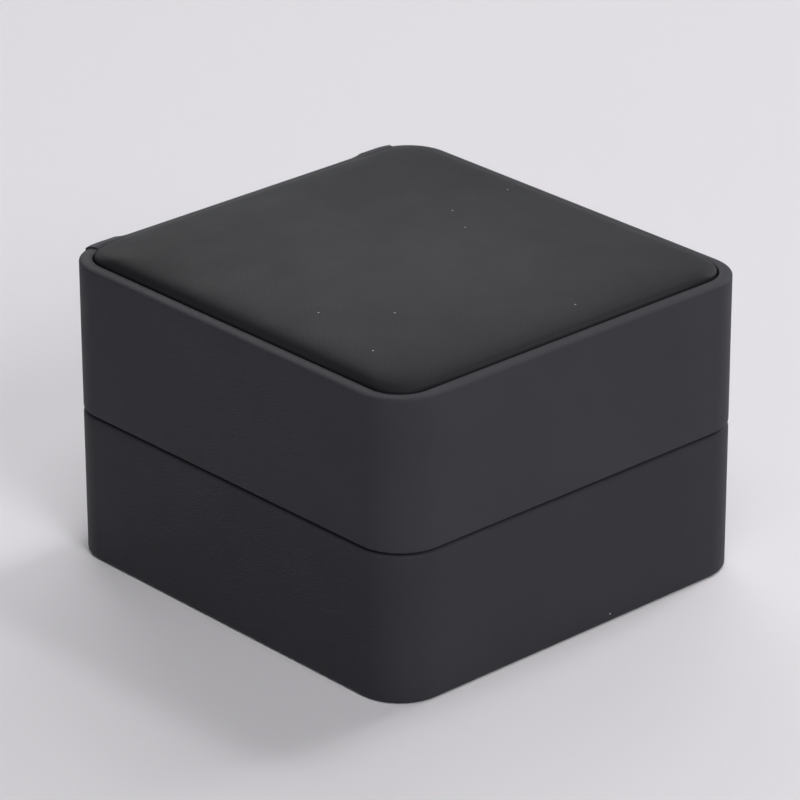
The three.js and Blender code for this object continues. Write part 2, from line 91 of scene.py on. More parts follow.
# Leatherwork: corner radius, skin thickness, edge roundings, the foot, the rim, the turned-in edges and
# the laps of the rear cover
CORNER = 6.8 * MM
SKIN = 0.5 * MM
EDGE_BASE = 0.7 * MM
EDGE_LID = 0.35 * MM
EDGE_FOOT = 0.6 * MM
PLUMP_BASE = 0.32 * MM
PLUMP_LID = 0.06 * MM
FOOT_LIFT = 0.04 * MM
FOOT_BAND = 1.2 * MM
FOOT_STEP = 0.3 * MM
RIM_WIDTH = 1.9 * MM
RIM_OUTER_ROUND = 1.3 * MM
RIM_OUTER_SQUASH = 0.36
RIM_INNER_ROUND = 0.35 * MM
RIM_CROWN = 0.05 * MM
RIM_TAIL = 3 * MM
WALL_STACK = 3.2 * MM
TURN_IN = 5 * MM
TURN_UNDER = 6 * MM
LAP_RISE = 0.22 * MM
LAP_START = 22.6 * MM
LAP_END_ANGLE = 72
LAP_SLOPE = 1.3 * MM
LAP_RIM_REACH = 1.5 * MM
LAP_RIM_SHARE = 0.8
RELIEF_SLOPE = 1.3
FOLD = 2.2 * MM

# Top panel: how high its crown stands over the rim at each distance in from its edge, in mm, and how
# much of that it loses at the corners
PANEL_CROWN = [
    (0, -0.15), (0.04, 0.08), (0.14, 0.32), (0.34, 0.58), (0.65, 0.82), (1.1, 1.04), (1.8, 1.27),
    (3, 1.48), (5, 1.65), (8, 1.78), (12, 1.87), (17, 1.94), (22, 1.98), (27, 1.99),
]
PANEL_CORNER_LOSS = 0.15
PANEL_CORNER_REACH = 7 * MM
PANEL_FOOT_EDGE = 0.5 * MM
PANEL_SWELL = 0.2 * MM
PANEL_HELD = 0.3 * MM

# Lid pad: the same, measured back from its face
LID_PAD_CROWN = [
    (0, -1.5), (0.15, -1.1), (0.5, -0.75), (1.1, -0.48), (2, -0.3), (3.5, -0.17), (6, -0.08), (10, -0.03),
    (15, 0), (20, 0),
]
LID_PAD_EDGE = 0.4 * MM
LID_PAD_SET_BACK = 0.2 * MM
LID_PAD_SWELL = 0.3 * MM
LID_PAD_HELD = 1.4 * MM

# Ring pad
ROLL_ROUND = 4.5 * MM
SLOT_GROOVE = 10 * MM
SLOT_HALF = 0.85 * MM
SLOT_WALL = 0.05 * MM
PAD_SKIRT = 1.2 * MM
PAD_SHRINK = 0.3 * MM
PAD_SWELL = 0.35 * MM
PAD_HELD = 2 * MM

# Linings
LINER_THICK = 1.2 * MM
LINER_ROUND = 0.55 * MM
LINER_CORNER = 3.2 * MM
SHEET_EDGE = 0.05 * MM
METAL_EDGE = 0.06 * MM

# Outlines: how corners soften inwards on the pads, the least corner radius and the most of a side that
# the corners may take
PAD_SOFTEN = 0.5
LEAST_RADIUS = 0.3 * MM
MOST_ROUND = 0.9
ARC_STEP = 5
SMOOTH_ANGLE = math.radians(40)

# Pad simulation
SIM_SCALE = 10
SIM_FRAMES = 20
SIM_VOXEL = 1.2 * MM
SIM_PRESSURE = 4.0
SIM_NEIGHBOURS = 6

base_wrap_low, base_wrap_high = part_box("base_wrap")
lid_wrap_low, lid_wrap_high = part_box("lid_wrap")
cover_low, cover_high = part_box("rear_cover")
HALF_X = lid_wrap_high.x
HALF_Y = cover_high.y
RIM_TOP = lid_wrap_high.z
HINGE = Vector(frame["joints"][0]["pos_m"])

# The camera: a long lens, turned a little to the left of the front edge
CAMERA_AZIMUTH = -42.4064
CAMERA_ELEVATION = 24.6184
CAMERA_ROLL = -0.1764
CAMERA_DISTANCE = 10.1367 * 2 * HALF_X
CAMERA_LENS = 213.6
CAMERA_SENSOR = 36
CAMERA_NEAR = 0.1 * CAMERA_DISTANCE
AIM_RIGHT = -0.01 * 2 * HALF_X
AIM_UP = 0.3286 * 2 * HALF_X

# Studio lights: azimuth from +X towards +Y and elevation in degrees, distance and size in metres, watts
STUDIO = {
    "lamp_overhead": (0, 67, 0.8, 0.12, 0.86),
    "softbox_right": (0, 27, 2.2, 1.0, 17.0),
    "softbox_back_right": (35, 40, 2.2, 1.0, 6.3),
    "softbox_back": (63, 30, 2.2, 1.0, 8.8),
    "softbox_front": (-100, 35, 1.1, 0.5, 4.5),
    "softbox_overhead_left": (-132, 65, 1.1, 0.5, 3.0),
}
ROOM_GLOW = 0.65
ROOM_GLOW_TOP = 0.75
FLOOR_HALF = 6.0


def clear_startup_objects():
    """Removes what an empty Blender file starts with."""
    kept = set(frame["nodes"].values()) | set(frame["bodies"].values())
    for obj in list(bpy.data.objects):
        if obj not in kept:
            bpy.data.objects.remove(obj)


def make_camera():
    azimuth, elevation, roll = (math.radians(a) for a in (CAMERA_AZIMUTH, CAMERA_ELEVATION, CAMERA_ROLL))
    flat = math.cos(elevation)
    back = Vector((math.sin(azimuth) * flat, -math.cos(azimuth) * flat, math.sin(elevation)))
    right = (-back).cross(Vector((0, 0, 1))).normalized()
    up = right.cross(-back)
    place = right * AIM_RIGHT + up * AIM_UP + back * CAMERA_DISTANCE
    rolled_right = right * math.cos(roll) + up * math.sin(roll)
    rolled_up = up * math.cos(roll) - right * math.sin(roll)
    data = bpy.data.cameras.new("camera")
    data.lens = CAMERA_LENS
    data.sensor_width = CAMERA_SENSOR
    data.clip_start = CAMERA_NEAR
    camera = bpy.data.objects.new("camera", data)
    bpy.context.scene.collection.objects.link(camera)
    rotation = Matrix((rolled_right, rolled_up, back)).transposed().to_4x4()
    camera.matrix_world = Matrix.Translation(place) @ rotation
    bpy.context.scene.camera = camera


# --- outlines and meshes ------------------------------------------------------------------------


class Plan:
    """A rectangle with round corners, seen from above, that is moved inwards by an inset. Its corner
    radius grows by soften for each unit of inset: -1 keeps the outlines parallel."""

    def __init__(self, half_x, front, rear, radius, soften=-1.0):
        self.half_x, self.front, self.rear, self.radius = half_x, front, rear, radius
        self.soften = soften

    def corner(self, inset, quadrant, angle):
        radius = max(self.radius + self.soften * inset, LEAST_RADIUS)
        radius = min(radius, MOST_ROUND * (self.half_x - inset))
        x = self.half_x - inset - radius
        x = x if quadrant in (0, 3) else -x
        y = self.rear - inset - radius if quadrant in (0, 1) else inset + radius - self.front
        turn = math.radians(angle)
        return Vector((x + radius * math.cos(turn), y + radius * math.sin(turn), 0))

    def point(self, inset, station, z):
        """A station is a quadrant, an angle on its corner arc and a share of the straight after it."""
        quadrant, angle, share = station
        place = self.corner(inset, quadrant % 4, angle)
        if share:
            place = place.lerp(self.corner(inset, (quadrant + 1) % 4, angle), share)
        place.z = z
        return place

    def from_corner(self, station):
        """How far along a side a station is from where the two sides would meet."""
        place = self.point(0, station, 0)
        along_y = self.rear - place.y if place.y > 0 else self.front + place.y
        return max(self.half_x - abs(place.x), along_y)


def arc_stations(quadrant, first, last):
    steps = max(2, round((last - first) / ARC_STEP))
    return [(quadrant, first + (last - first) * i / steps, 0) for i in range(steps + 1)]


def straight_stations(quadrant, angle, steps):
    return [(quadrant, angle, i / steps) for i in range(1, steps)]


def all_round(straight_steps=16):
    path = []
    for quadrant in range(4):
        end = 90 * (quadrant + 1)
        path += arc_stations(quadrant, end - 90, end)
        path += straight_stations(quadrant, end, straight_steps)
    return path


def arc(inset, z, radius, first, last, steps=5, squash=1.0):
    """Section points on an arc about (inset, z), at angles from the inset axis towards +z. squash is its
    height for its width."""
    turns = [math.radians(first + (last - first) * i / steps) for i in range(steps + 1)]
    return [(inset + radius * math.cos(t), z + squash * radius * math.sin(t)) for t in turns]


def line(start, end, steps):
    return [tuple(a + (b - a) * i / steps for a, b in zip(start, end)) for i in range(1, steps)]


def thickened(outer, thickness):
    """Closes a section line into a band, with its material on the right of the line's direction."""
    inner = []
    for i, point in enumerate(outer):
        before = Vector(outer[max(i - 1, 0)])
        after = Vector(outer[min(i + 1, len(outer) - 1)])
        along = (after - before).normalized()
        inner.append((point[0] + along.y * thickness, point[1] - along.x * thickness))
    return list(outer) + inner[::-1]


def lengths(points):
    """The running length along a list of points."""
    total, run = 0.0, [0.0]
    for a, b in zip(points, points[1:]):
        total += (Vector(b) - Vector(a)).length
        run.append(total)
    return run


def finish_mesh(name, build):
    """Turns a bmesh into a smooth-shaded object with sharp folds."""
    bmesh.ops.recalc_face_normals(build, faces=build.faces)
    mesh = bpy.data.meshes.new(name)
    build.to_mesh(mesh)
    build.free()
    for polygon in mesh.polygons:
        polygon.use_smooth = True
    mesh.set_sharp_from_angle(angle=SMOOTH_ANGLE)
    piece = bpy.data.objects.new(name, mesh)
    bpy.context.scene.collection.objects.link(piece)
    return piece


def grid_mesh(name, rows, wrap_rows=False, cap_rows=False):
    """A mesh piece from rows of points. The columns close on themselves; the rows close or are capped.
    Its UV map holds the real length along the rows and along the columns, in metres."""
    height, width = len(rows), len(rows[0])
    u = max((lengths([row[j] for row in rows]) for j in range(width)), key=lambda run: run[-1])
    v = lengths(rows[0])
    build = bmesh.new()
    uv = build.loops.layers.uv.new("UVMap")
    verts = [[build.verts.new(point) for point in row] for row in rows]
    for i in range(height if wrap_rows else height - 1):
        for j in range(width):
            cells = ((i, j), (i + 1, j), (i + 1, j + 1), (i, j + 1))
            face = build.faces.new([verts[a % height][b % width] for a, b in cells])
            for loop, (a, b) in zip(face.loops, cells):
                loop[uv].uv = (u[min(a, height - 1)], v[min(b, width - 1)])
    if cap_rows:
        build.faces.new(verts[0])
        build.faces.new(verts[-1])
    return finish_mesh(name, build)


def swept(name, plan, path, section_at, closed=False):
    """A section carried along a path round the outline. section_at gives it for the outer point."""
    rows = []
    for station in path:
        section = section_at(plan.point(0, station, 0))
        rows.append([plan.point(inset, station, z) for inset, z in section])
    return grid_mesh(name, rows, wrap_rows=closed, cap_rows=not closed)


def stacked(name, plan, section, shift=None):
    """A solid of outlines one above the other, closed flat at its first and last one. shift moves a
    point's height by where it is."""
    path = all_round()
    rows = []
    for inset, z in section:
        lift = [shift(inset, station) if shift else 0.0 for station in path]
        rows.append([plan.point(inset, station, z + up) for station, up in zip(path, lift)])
    return grid_mesh(name, rows, cap_rows=True)


OUTER = Plan(HALF_X, HALF_Y, HALF_Y, CORNER)

# --- leather wraps ------------------------------------------------------------------------------


def wrap_path():
    """Round the front and sides, and a little way onto the back, under the rear cover's laps."""
    straight = HALF_X - CORNER
    tail = (straight - LAP_START) / (2 * straight)
    path = [(0, 90, 1 - tail)]
    for quadrant in (1, 2, 3, 4):
        end = 90 * (quadrant + 1)
        path += arc_stations(quadrant, end - 90, end)
        if quadrant < 4:
            path += straight_stations(quadrant, end, 8)
    return path + [(4, 90, tail)]


def swing_relief(point):
    """How far a seam edge draws back behind the hinge line, so that the halves pass each other."""
    return max(0.0, point.y - HINGE.y) * RELIEF_SLOPE


def foot_section():
    """From under the base, where the leather lies above the bottom sheet, to the start of the wall."""
    foot = cad_low.z + FOOT_LIFT
    under = base_wrap_low.z
    outer = [(TURN_UNDER, under), (FOOT_BAND + FOOT_STEP, under), (FOOT_BAND, foot)]
    return outer + arc(EDGE_FOOT, foot + EDGE_FOOT, EDGE_FOOT, 270, 180)


def base_wrap_section(point):
    top = base_wrap_high.z + PLUMP_BASE - swing_relief(point)
    outer = foot_section()
    outer += line(outer[-1], (0, top - EDGE_BASE), 8)
    outer += arc(EDGE_BASE, top - EDGE_BASE, EDGE_BASE, 180, 90)
    outer += arc(WALL_STACK - EDGE_BASE, top - EDGE_BASE, EDGE_BASE, 90, 0)
    outer += [(WALL_STACK, top - TURN_IN)]
    return thickened(outer, SKIN)


def rim_section(start_z):
    """The outer face above start_z, over the rim and down into the recess of the top panel."""
    outer_z = RIM_TOP - RIM_CROWN - RIM_OUTER_ROUND * RIM_OUTER_SQUASH
    inner_z = RIM_TOP - RIM_CROWN - RIM_INNER_ROUND
    outer = line((0, start_z), (0, outer_z), 8)
    outer += arc(RIM_OUTER_ROUND, outer_z, RIM_OUTER_ROUND, 180, 90, 8, RIM_OUTER_SQUASH)
    outer += [((RIM_OUTER_ROUND + RIM_WIDTH - RIM_INNER_ROUND) / 2, RIM_TOP)]
    outer += arc(RIM_WIDTH - RIM_INNER_ROUND, inner_z, RIM_INNER_ROUND, 90, 0, 6)
    outer += [(RIM_WIDTH, RIM_TOP - RIM_TAIL)]
    return outer


def lid_wrap_section(point):
    bottom = lid_wrap_low.z - PLUMP_LID + swing_relief(point)
    outer = [(WALL_STACK, bottom + TURN_IN)]
    outer += arc(WALL_STACK - EDGE_LID, bottom + EDGE_LID, EDGE_LID, 0, -90)
    outer += arc(EDGE_LID, bottom + EDGE_LID, EDGE_LID, 270, 180)
    outer += rim_section(bottom + EDGE_LID)
    return thickened(outer, SKIN)


def make_wraps():
    base = swept("base_wrap_leather", OUTER, wrap_path(), base_wrap_section)
    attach(base, "base")
    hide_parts("base_wrap")
    lid = swept("lid_wrap_leather", OUTER, wrap_path(), lid_wrap_section)
    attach(lid, "lid")
    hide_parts("lid_wrap")
    return [base, lid]


def cover_path():
    straight = HALF_X - CORNER
    shares = [(straight - LAP_START) / (2 * straight) * k for k in (0.5, 1.0, 1.25, 1.6)]
    middle = [shares[-1] + (1 - 2 * shares[-1]) * i / 12 for i in range(1, 12)]
    path = arc_stations(0, LAP_END_ANGLE, 90)
    path += [(0, 90, share) for share in shares + middle + [1 - s for s in shares[::-1]]]
    return path + arc_stations(1, 90, 180 - LAP_END_ANGLE)


def cover_lap(point):
    """How far the cover stands out: on top of the wraps at its ends, flush between them."""
    share = (abs(point.x) - LAP_START + LAP_SLOPE) / LAP_SLOPE
    share = min(1.0, max(0.0, share))
    return LAP_RISE * share * share * (3 - 2 * share)


def raised(band, lap):
    """Moves a band out from the box by lap: outwards on the walls, up on the rim and down to the floor."""
    middle_z = (cover_low.z + RIM_TOP) / 2
    moved = []
    for inset, z in band:
        up = lap if z > middle_z else -min(lap, FOOT_LIFT)
        near_rim = max(0.0, 1 - abs(abs(z - middle_z) - (RIM_TOP - cover_low.z) / 2) / LAP_RIM_REACH)
        out = lap * (1 - min(1.0, inset / RIM_WIDTH) * LAP_RIM_SHARE)
        moved.append((inset - out, z + up * near_rim))
    return moved


def rear_cover_section(point):
    low_fold, high_fold = HINGE.z - 2 * FOLD, HINGE.z + 2 * FOLD
    outer = foot_section()
    outer += line(outer[-1], (0, low_fold), 6)
    outer += [(0, low_fold)] + line((0, low_fold), (0, high_fold), 24)
    outer += [(0, high_fold)] + rim_section(high_fold)
    return raised(thickened(outer, SKIN), cover_lap(point))


def make_rear_cover():
    cover = swept("rear_cover_leather", OUTER, cover_path(), rear_cover_section)
    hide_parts("rear_cover")
    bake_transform(cover)
    return cover


# --- pads ---------------------------------------------------------------------------------------


def swollen_by(piece):
    """How the surface moves when it is stuffed: pairs of a starting point and its move. A remeshed
    stand-in is simulated as cloth with pressure inside, at SIM_SCALE times its size."""
    stand_in = piece.copy()
    stand_in.data = piece.data.copy()
    stand_in.data.transform(Matrix.Scale(SIM_SCALE, 4))
    bpy.context.scene.collection.objects.link(stand_in)
    remesh = stand_in.modifiers.new("remesh", "REMESH")
    remesh.mode = "VOXEL"
    remesh.voxel_size = SIM_VOXEL * SIM_SCALE
    graph = bpy.context.evaluated_depsgraph_get()
    stand_in.data = bpy.data.meshes.new_from_object(stand_in.evaluated_get(graph))
    stand_in.modifiers.clear()
    starts = [v.co.copy() for v in stand_in.data.vertices]
    cloth = stand_in.modifiers.new("cloth", "CLOTH")
    cloth.settings.use_pressure = True
    cloth.settings.uniform_pressure_force = SIM_PRESSURE
    cloth.settings.effector_weights.gravity = 0
    for step in range(1, SIM_FRAMES + 1):
        bpy.context.scene.frame_set(step)
    graph = bpy.context.evaluated_depsgraph_get()
    ends = [v.co.copy() for v in stand_in.evaluated_get(graph).data.vertices]
    bpy.data.objects.remove(stand_in)
    bpy.context.scene.frame_set(1)
    return [(start / SIM_SCALE, (end - start) / SIM_SCALE) for start, end in zip(starts, ends)]


def swell(piece, cap, held):
    """Stuffs a pad: every point that is not held down follows the simulated cloth, by cap at most."""
    moves = swollen_by(piece)
    tree = KDTree(len(moves))
    for i, (start, _) in enumerate(moves):
        tree.insert(start, i)
    tree.balance()
    for vertex in piece.data.vertices:
        move, total = Vector(), 0.0
        for _, i, distance in tree.find_n(vertex.co, SIM_NEIGHBOURS):
            weight = 1 / (distance + SIM_VOXEL / 2)
            move += moves[i][1] * weight
            total += weight
        move *= (1 - held(vertex.co)) / total
        if move.length > cap:
            move *= cap / move.length
        vertex.co += move
    piece.modifiers.new("subdivision", "SUBSURF").levels = 1


def make_top_panel():
    low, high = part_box("lid_top_cover")
    plan = Plan(high.x, high.y, high.y, CORNER - (HALF_X - high.x), PAD_SOFTEN)

    def corner_drop(inset, station):
        rise = max(0.0, section_height.get(inset, RIM_TOP) - RIM_TOP)
        near = math.exp(-plan.from_corner(station) / PANEL_CORNER_REACH - inset / PANEL_CORNER_REACH)
        return -rise * PANEL_CORNER_LOSS * near

    crown = [(inset * MM, RIM_TOP + rise * MM) for inset, rise in PANEL_CROWN]
    section_height = dict(crown)
    section = [(PANEL_FOOT_EDGE, low.z), (0, low.z + PANEL_FOOT_EDGE)] + crown
    panel = stacked("lid_top_panel", plan, section, corner_drop)
    swell(panel, PANEL_SWELL, lambda p: 1.0 if p.z < RIM_TOP + PANEL_HELD else 0.0)
    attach(panel, "lid")
    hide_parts("lid_top_cover", "lid_top_foam")
    return panel


def rounded_drop(from_x_edge, from_y_edge):
    """How far a roll's top has fallen near its edges, with round edges and ball corners."""
    near_x = max(0.0, ROLL_ROUND - from_x_edge)
    near_y = max(0.0, ROLL_ROUND - from_y_edge)
    return ROLL_ROUND - math.sqrt(max(0.0, ROLL_ROUND ** 2 - near_x ** 2 - near_y ** 2))


def edge_steps(start, end):
    """Places from start to end, close together at both, where the surface turns."""
    bend = [ROLL_ROUND * (1 - math.cos(math.radians(a))) for a in range(0, 91, 15)]
    middle = [start + ROLL_ROUND + (end - start - 2 * ROLL_ROUND) * i / 8 for i in range(1, 8)]
    return [start + b for b in bend] + middle + [end - b for b in bend[::-1]]


def make_ring_pad():
    """Velvet over two foam rolls, tucked down into the slot between them."""
    low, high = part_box("ring_pad_cover")
    middle = (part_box("ring_foam_front")[1].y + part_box("ring_foam_back")[0].y) / 2
    half_x = high.x - PAD_SHRINK
    front, rear = low.y + PAD_SHRINK, high.y - PAD_SHRINK
    top, groove, skirt = high.z - PAD_SHRINK, high.z - SLOT_GROOVE, low.z - PAD_SKIRT
    columns = [(y, min(y - front, middle - SLOT_HALF - y)) for y in edge_steps(front, middle - SLOT_HALF)]
    columns += [(middle - SLOT_HALF + SLOT_WALL, None), (middle + SLOT_HALF - SLOT_WALL, None)]
    columns += [(y, min(y - middle - SLOT_HALF, rear - y)) for y in edge_steps(middle + SLOT_HALF, rear)]
    build = bmesh.new()
    grid = []
    for x in edge_steps(-half_x, half_x):
        from_x = half_x - abs(x)
        heights = [groove if edge is None else top - rounded_drop(from_x, edge) for _, edge in columns]
        grid.append([build.verts.new((x, y, z)) for (y, _), z in zip(columns, heights)])
    for near, far in zip(grid, grid[1:]):
        for a, b, c, d in zip(near, near[1:], far[1:], far):
            build.faces.new((a, b, c, d))
    border = grid[0] + [row[-1] for row in grid[1:]] + grid[-1][-2::-1] + [row[0] for row in grid[-2:0:-1]]
    hem = [build.verts.new((v.co.x, v.co.y, skirt)) for v in border]
    for i in range(len(border)):
        build.faces.new((border[i - 1], border[i], hem[i], hem[i - 1]))
    build.faces.new(hem)
    pad = finish_mesh("ring_pad_velvet", build)
    swell(pad, PAD_SWELL, lambda p: 1.0 if p.z < groove + PAD_HELD else 0.0)
    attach(pad, "base")
    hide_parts("ring_pad_cover", "ring_foam_front", "ring_foam_back")
    return pad


def make_lid_pad():
    """The lid's padded lining, which faces down when the box is shut."""
    low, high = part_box("lid_pad_cover")
    plan = Plan(high.x, -low.y, high.y, LINER_CORNER - LINER_THICK, PAD_SOFTEN)
    face = low.z + LID_PAD_SET_BACK
    section = [(LID_PAD_EDGE, high.z), (0, high.z - LID_PAD_EDGE)]
    section += [(inset * MM, face - fall * MM) for inset, fall in LID_PAD_CROWN]
    pad = stacked("lid_pad_satin", plan, section)
    swell(pad, LID_PAD_SWELL, lambda p: 1.0 if p.z > face + LID_PAD_HELD else 0.0)
    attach(pad, "lid")
    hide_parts("lid_pad_cover", "lid_pad_foam")
    return pad


# --- linings and sheet --------------------------------------------------------------------------


def make_liner(node, body, free_edge_up):
    """A velvet-covered band of card with a rounded free edge."""
    low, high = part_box(node)
    plan = Plan(high.x, -low.y, high.y, LINER_CORNER)
    free, fixed = (high.z, low.z) if free_edge_up else (low.z, high.z)
    up = 1 if free_edge_up else -1
    centre = free - up * LINER_ROUND
    section = [(0, fixed), (0, (fixed + centre) / 2)]
    section += arc(LINER_ROUND, centre, LINER_ROUND, 180, 180 - 90 * up)
    section += arc(LINER_THICK - LINER_ROUND, centre, LINER_ROUND, 90 * up, 0)
    section += [(LINER_THICK, (fixed + centre) / 2), (LINER_THICK, fixed)]
    band = swept(node + "_velvet", plan, all_round(), lambda point: section, closed=True)
    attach(band, body)
    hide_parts(node)
    return band


def make_bottom_sheet():
    low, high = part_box("base_bottom_sheet")
    plan = Plan(high.x, high.y, high.y, CORNER - (HALF_X - high.x))
    section = [
        (SHEET_EDGE, low.z), (0, low.z + SHEET_EDGE), (0, high.z - SHEET_EDGE), (SHEET_EDGE, high.z),
    ]
    sheet = stacked("base_bottom_flock", plan, section)
    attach(sheet, "base")
    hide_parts("base_bottom_sheet")
    return sheet


def bevelled(node, width):
    """A fine bevel on a CAD metal piece, so that its edges catch the light."""
    bevel = node.modifiers.new("edge", "BEVEL")
    bevel.width = width
    bevel.segments = 2
    bevel.limit_method = "ANGLE"
    bevel.angle_limit = math.radians(50)


# --- materials ----------------------------------------------------------------------------------

# Mix and wave nodes: the sockets of a colour mix, and waves per unit at scale 1
MIX_A, MIX_B, MIX_RESULT = 6, 7, 2
WAVES_PER_UNIT = 20 / (2 * math.pi)

# Painted sheen on a pad: its colour is painted darker over this reach out from a place a little in front
# of its middle, standing for the broad highlight that its crown catches
SHEEN_FADE = 1 / (42 * MM)
SHEEN_SHIFT = 8 / 42


def linear(hex_code):
    """An sRGB hex colour as linear RGBA."""
    channels = [int(hex_code[i:i + 2], 16) / 255 for i in (1, 3, 5)]
    toned = [c / 12.92 if c <= 0.04045 else ((c + 0.055) / 1.055) ** 2.4 for c in channels]
    return (*toned, 1)


def add_node(tree, kind, inputs=None, output=0, **settings):
    """Adds a node and gives its output. settings are its own values; inputs are by socket name or
    number, each a value or an output to link from."""
    made = tree.nodes.new(kind)
    for key, value in settings.items():
        setattr(made, key, value)
    for key, value in (inputs or {}).items():
        if isinstance(value, bpy.types.NodeSocket):
            tree.links.new(value, made.inputs[key])
        else:
            made.inputs[key].default_value = value
    return made.outputs[output] if made.outputs else made


def new_material(name):
    material = bpy.data.materials.new(name)
    material.use_nodes = True
    material.node_tree.nodes.clear()
    return material, material.node_tree


def leatherette(name, coordinate, dark, light, rib_angle, rib_shade, lint, painted_sheen=0.0):
    """Polyurethane leatherette on a fine twill backing, cast matt and soft to the touch: a charcoal skin
    with a broad dull sheen, ribs that only just show, and a little lint on it. The last argument paints a
    sheen: how much darker the colour is painted at the edge of a pad than in its middle, standing for the
    broad highlight that its crown catches."""
    material, tree = new_material(name)
    place = add_node(tree, "ShaderNodeTexCoord", output=coordinate)
    turned = (0, 0, math.radians(rib_angle))
    along = add_node(tree, "ShaderNodeMapping", {"Vector": place, "Rotation": turned})
    rib_spacing = 0.30 * MM
    ribs = add_node(
        tree, "ShaderNodeTexWave",
        {"Vector": along, "Scale": 1 / rib_spacing / WAVES_PER_UNIT, "Distortion": 0.5, "Detail": 1.0},
        output="Fac", wave_type="BANDS", bands_direction="X",
    )
    clouds = add_node(tree, "ShaderNodeTexNoise", {"Vector": place, "Scale": 1 / (16 * MM), "Detail": 3})
    grain = add_node(tree, "ShaderNodeTexNoise", {"Vector": place, "Scale": 1 / (0.5 * MM), "Detail": 3})
    skin = add_node(
        tree, "ShaderNodeMix", {0: clouds, MIX_A: linear(dark), MIX_B: linear(light)},
        output=MIX_RESULT, data_type="RGBA",
    )
    shade = add_node(
        tree, "ShaderNodeMapRange", {"Value": ribs, "To Min": 1 - rib_shade, "To Max": 1 + rib_shade}
    )
    # Painted sheen: the colour is darkened from a little in front of the pad's middle out to its edges
    from_middle = add_node(tree, "ShaderNodeMapping", {
        "Vector": place, "Location": (0, SHEEN_SHIFT, 0), "Scale": (SHEEN_FADE, SHEEN_FADE, 0),
    })
    middle = add_node(
        tree, "ShaderNodeTexGradient", {"Vector": from_middle}, output="Fac", gradient_type="SPHERICAL"
    )
    painted_sheen_factor = add_node(tree, "ShaderNodeMapRange", {"Value": middle, "To Min": 1 - painted_sheen, "To Max": 1.0})
    rib_and_sheen_shades = add_node(tree, "ShaderNodeMath", {0: shade, 1: painted_sheen_factor}, operation="MULTIPLY")
    ribbed = add_node(tree, "ShaderNodeVectorMath", {0: skin, "Scale": rib_and_sheen_shades}, operation="SCALE")
    # Lint: one pale fibre end of about a tenth of a millimetre in some of the cells of a 7 mm mesh
    specks = 7 * MM
    flat_mesh = {"Vector": place, "Scale": 1 / specks}
    away = add_node(tree, "ShaderNodeTexVoronoi", flat_mesh, output="Distance", voronoi_dimensions="2D")
    cell = add_node(tree, "ShaderNodeTexVoronoi", flat_mesh, output="Color", voronoi_dimensions="2D")
    close = add_node(
        tree, "ShaderNodeMapRange",
        {"Value": away, "From Min": 0.012, "From Max": 0.02, "To Min": 1.0, "To Max": 0.0},
    )
    chosen = add_node(tree, "ShaderNodeMath", {0: cell, 1: 1 - lint}, operation="GREATER_THAN")
    speck = add_node(tree, "ShaderNodeMath", {0: close, 1: chosen}, operation="MULTIPLY")
    colour = add_node(
        tree, "ShaderNodeMix", {0: speck, MIX_A: ribbed, MIX_B: linear("#A8A8A6")},
        output=MIX_RESULT, data_type="RGBA",
    )
    rib_relief = add_node(tree, "ShaderNodeBump", {"Height": ribs, "Distance": 0.012 * MM, "Strength": 0.5})
    relief = add_node(
        tree, "ShaderNodeBump",
        {"Height": grain, "Distance": 0.02 * MM, "Strength": 0.35, "Normal": rib_relief},
    )
    worn = add_node(tree, "ShaderNodeTexNoise", {"Vector": place, "Scale": 1 / (6 * MM), "Detail": 2})
    gloss = add_node(tree, "ShaderNodeMapRange", {"Value": worn, "To Min": 0.48, "To Max": 0.60})
    shader = add_node(tree, "ShaderNodeBsdfPrincipled", {
        "Base Color": colour, "Roughness": gloss, "IOR": 1.46, "Specular IOR Level": 0.1, "Normal": relief,
    })
    add_node(tree, "ShaderNodeOutputMaterial", {"Surface": shader})
    return material


def velvet():
    """Short-pile velvet, woven and cropped: deep black that lightens where the pile is seen edge on."""
    material, tree = new_material("velvet_black")
    place = add_node(tree, "ShaderNodeTexCoord", output="Object")
    pile = add_node(
        tree, "ShaderNodeTexNoise", {"Vector": place, "Scale": 1 / (0.35 * MM), "Detail": 4, "Roughness": 0.7}
    )
    nap = add_node(tree, "ShaderNodeTexNoise", {"Vector": place, "Scale": 1 / (9 * MM), "Detail": 3})
    brushed = add_node(tree, "ShaderNodeMapRange", {"Value": nap, "From Min": 0.35, "From Max": 0.65})
    colour = add_node(
        tree, "ShaderNodeMix", {0: brushed, MIX_A: linear("#0B0B0D"), MIX_B: linear("#17171A")},
        output=MIX_RESULT, data_type="RGBA",
    )
    relief = add_node(tree, "ShaderNodeBump", {"Height": pile, "Distance": 0.12 * MM, "Strength": 0.8})
    shader = add_node(tree, "ShaderNodeBsdfPrincipled", {
        "Base Color": colour, "Roughness": 0.95, "IOR": 1.45, "Normal": relief,
        "Sheen Weight": 0.45, "Sheen Roughness": 0.35, "Sheen Tint": linear("#9A9AA4"),
    })
    add_node(tree, "ShaderNodeOutputMaterial", {"Surface": shader})
    return material


